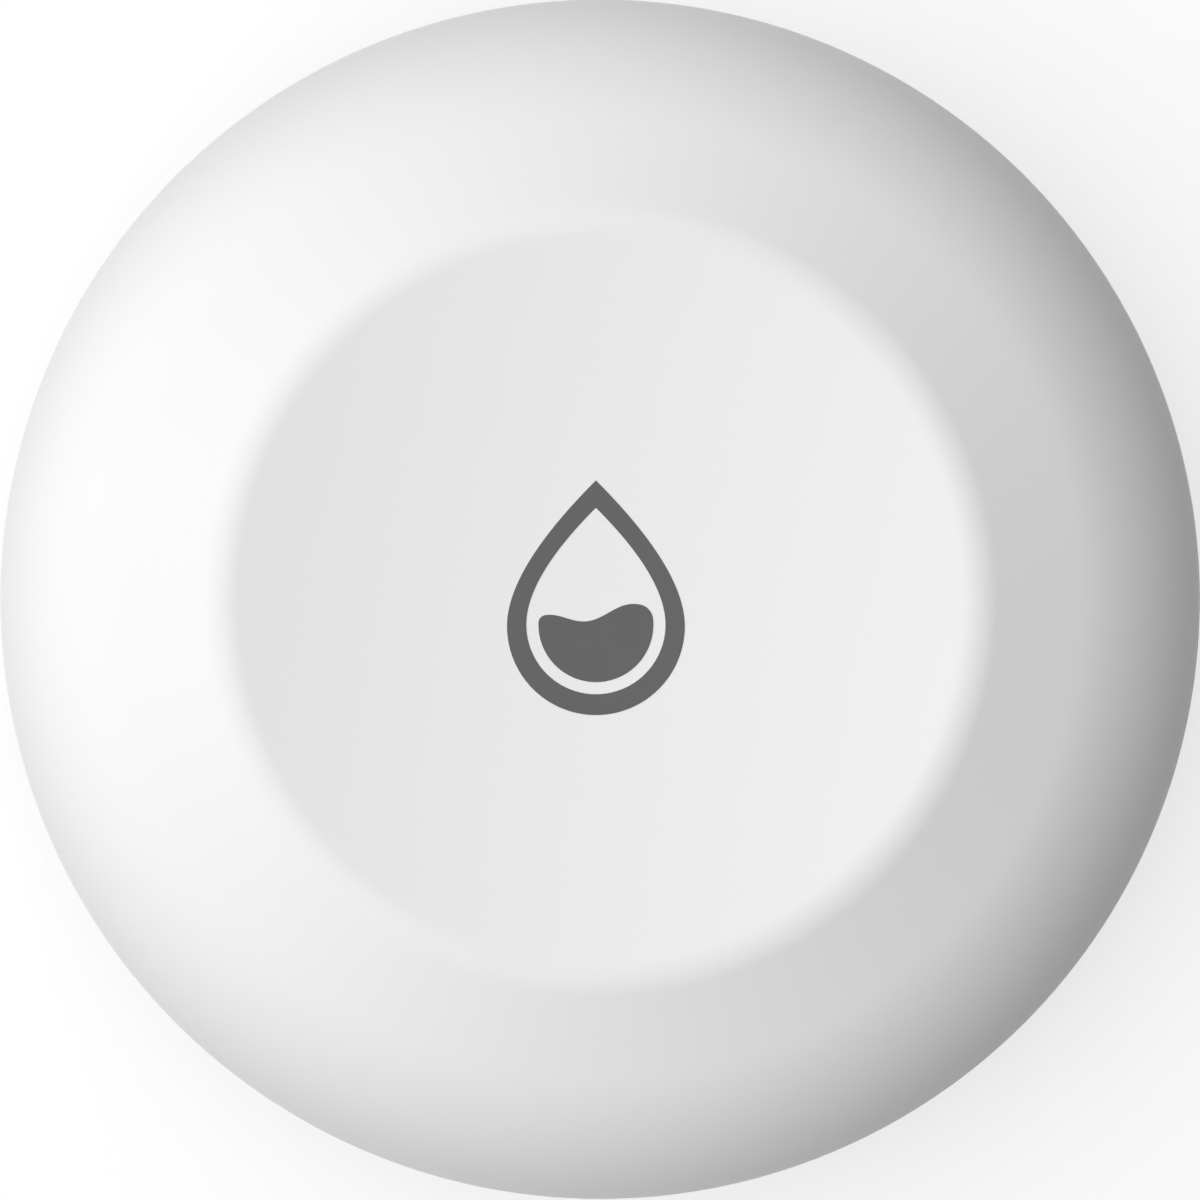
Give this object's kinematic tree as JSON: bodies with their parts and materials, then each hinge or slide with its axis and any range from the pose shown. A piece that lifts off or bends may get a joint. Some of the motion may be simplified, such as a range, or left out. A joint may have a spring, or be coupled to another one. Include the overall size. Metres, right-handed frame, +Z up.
{
  "type": "water leak sensor",
  "caption": "Round white floor puck with a dished top and a droplet pictogram, which senses water with probe pins under its sealed, screwed case.",
  "frame": {"origin": "on the floor below the middle of the puck", "axes": "+Z up; the droplet's tip points to +Y and its right side to +X"},
  "size_m": [0.056, 0.056, 0.0167],
  "materials": {
    "cover_plastic": "fine matt",
    "pictogram_plastic": "fine matt",
    "base_plastic": "fine matt",
    "seal_rubber": "matt",
    "screw_steel": "satin",
    "foot_rubber": "matt",
    "probe_gold": "plated, polished",
    "spring_bronze": "satin",
    "board_laminate": "solder mask",
    "cell_steel": "satin",
    "clip_steel": "bright",
    "radio_laminate": "solder mask",
    "chip_plastic": "matt",
    "tin_plate": "tinned",
    "antenna_gold": "plated",
    "capacitor_aluminium": "satin",
    "ferrite": "matt",
    "chip_ceramic": "fired",
    "resistor_glaze": "glazed",
    "lamp_resin": "clear",
    "guide_clear": "clear",
    "button_plastic": "fine matt",
    "button_rubber": "matt",
    "plunger_plastic": "satin"
  },
  "bodies": {
    "base": {"base_shell": "base_plastic", "rim_gasket": "seal_rubber", "case_screws": "screw_steel", "screw_seals": "seal_rubber", "rubber_feet": "foot_rubber", "probe_pins_right": "probe_gold", "probe_pins_rear": "probe_gold", "probe_pins_left": "probe_gold", "probe_pins_front": "probe_gold", "probe_seals": "seal_rubber", "probe_springs": "spring_bronze", "circuit_board": "board_laminate", "board_screws": "screw_steel", "cell_can": "cell_steel", "cell_seal": "seal_rubber", "cell_cap": "cell_steel", "cell_clip": "clip_steel", "cell_contact": "spring_bronze", "radio_board": "radio_laminate", "radio_chip": "chip_plastic", "radio_crystal": "tin_plate", "radio_shield": "tin_plate", "radio_antenna": "antenna_gold", "amplifier_chip": "chip_plastic", "amplifier_leads": "tin_plate", "capacitor_base": "chip_plastic", "capacitor_can": "capacitor_aluminium", "power_inductor": "ferrite", "clock_crystal": "tin_plate", "chip_capacitors": "chip_ceramic", "chip_resistors": "resistor_glaze", "indicator_lamp": "lamp_resin", "light_guide": "guide_clear", "button_seal": "button_rubber", "switch_body": "chip_plastic", "switch_plate": "tin_plate"},
    "cover": {"top_cover": "cover_plastic", "droplet_line": "pictogram_plastic", "droplet_water": "pictogram_plastic"},
    "button": {"power_button": "button_plastic"},
    "plunger": {"switch_plunger": "plunger_plastic"}
  },
  "joints": [
    {"name": "cover_lift", "type": "slide", "parent": "base", "child": "cover", "axis": [0, 0, 1], "range_m": [0, 0.03]},
    {"name": "button_press", "type": "slide", "parent": "base", "child": "button", "axis": [0, 0, 1], "range_m": [0, 0.00035], "stiffness_N_per_m": 4500, "deforming": ["button_seal"]},
    {"name": "plunger_press", "type": "slide", "parent": "base", "child": "plunger", "axis": [0, 0, 1], "range_m": [0, 0.00035]}
  ],
  "couplings": [
    {"joint": "plunger_press", "follows": "button_press", "ratio": 1}
  ]
}
